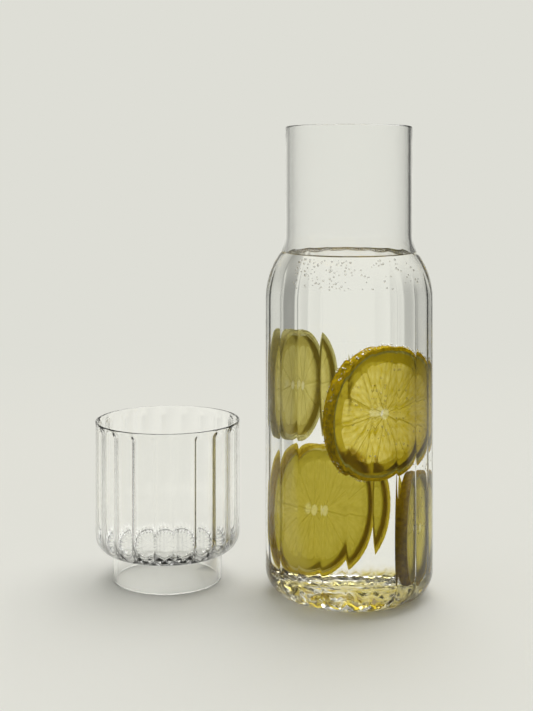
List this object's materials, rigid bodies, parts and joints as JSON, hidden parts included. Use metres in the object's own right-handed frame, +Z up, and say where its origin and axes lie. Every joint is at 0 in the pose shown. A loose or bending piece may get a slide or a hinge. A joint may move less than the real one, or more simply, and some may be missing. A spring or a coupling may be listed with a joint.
{
  "type": "bedside carafe with tumbler",
  "caption": "Glass carafe with inner flutes, filled with water and lemon slices, and its footed glass tumbler standing beside it, which also fits its neck.",
  "frame": {"origin": "centre of the carafe's flat base, on the table", "axes": "+Z up along the carafe's axis; -Y towards the viewer of the picture; the tumbler stands on the -X side"},
  "size_m": [0.1673, 0.097, 0.227],
  "materials": {
    "clear_glass": "clear, polished",
    "water": null,
    "lemon_peel": "waxy, dimpled",
    "lemon_pith": "soft, matt",
    "lemon_pulp": "wet"
  },
  "bodies": {
    "carafe_filled": {"carafe": "clear_glass", "water": "water", "front_slice_peel": "lemon_peel", "front_slice_pith": "lemon_pith", "front_slice_pulp": "lemon_pulp", "upper_slice_peel": "lemon_peel", "upper_slice_pith": "lemon_pith", "upper_slice_pulp": "lemon_pulp", "lower_slice_peel": "lemon_peel", "lower_slice_pith": "lemon_pith", "lower_slice_pulp": "lemon_pulp", "side_slice_peel": "lemon_peel", "side_slice_pith": "lemon_pith", "side_slice_pulp": "lemon_pulp"},
    "tumbler": {"tumbler_bowl": "clear_glass", "tumbler_foot": "clear_glass"}
  },
  "joints": [
    {"name": "tumbler_lift", "type": "slide", "parent": "carafe_filled", "child": "tumbler", "axis": [0, 0, 1], "range_m": [0, 0.235]}
  ]
}
